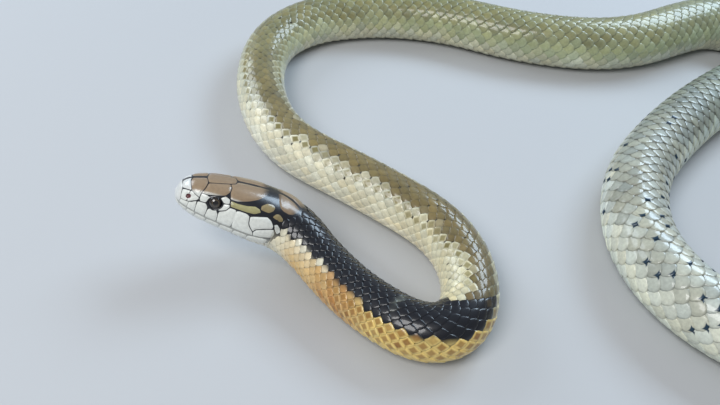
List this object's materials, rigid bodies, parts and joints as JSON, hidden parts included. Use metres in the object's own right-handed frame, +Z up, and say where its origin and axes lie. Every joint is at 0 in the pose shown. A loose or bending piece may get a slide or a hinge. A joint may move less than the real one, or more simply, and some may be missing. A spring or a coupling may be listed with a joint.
{
  "type": "king cobra",
  "caption": "Life-size king cobra lying on the floor in open loops, head raised a little, with a long slender tail.",
  "frame": {"origin": "centre of the bounding box at floor level", "axes": "+Z up from the floor; the head points towards -X; the front of the picture is towards -Y"},
  "size_m": [0.8132, 0.8162, 0.0772],
  "materials": {
    "head_skin": "smooth shields, slightly glossy",
    "jaw_skin": "smooth shields, slightly glossy",
    "eye": "wet gloss",
    "neck_skin": "glossy scales",
    "body_skin": "glossy scales",
    "tail_skin": "glossy scales"
  },
  "bodies": {
    "root": {"head": "head_skin", "lower_jaw": "jaw_skin", "eye_left": "eye", "eye_right": "eye", "neck": "neck_skin", "body_1": "neck_skin", "body_2": "neck_skin", "body_3": "neck_skin", "body_4": "body_skin", "body_5": "body_skin", "body_6": "body_skin", "body_7": "body_skin", "body_8": "body_skin", "body_9": "body_skin", "body_10": "body_skin", "body_11": "body_skin", "body_12": "body_skin", "body_13": "body_skin", "body_14": "body_skin", "body_15": "body_skin", "tail_1": "tail_skin", "tail_2": "tail_skin", "tail_3": "tail_skin", "tail_4": "tail_skin"}
  },
  "joints": []
}
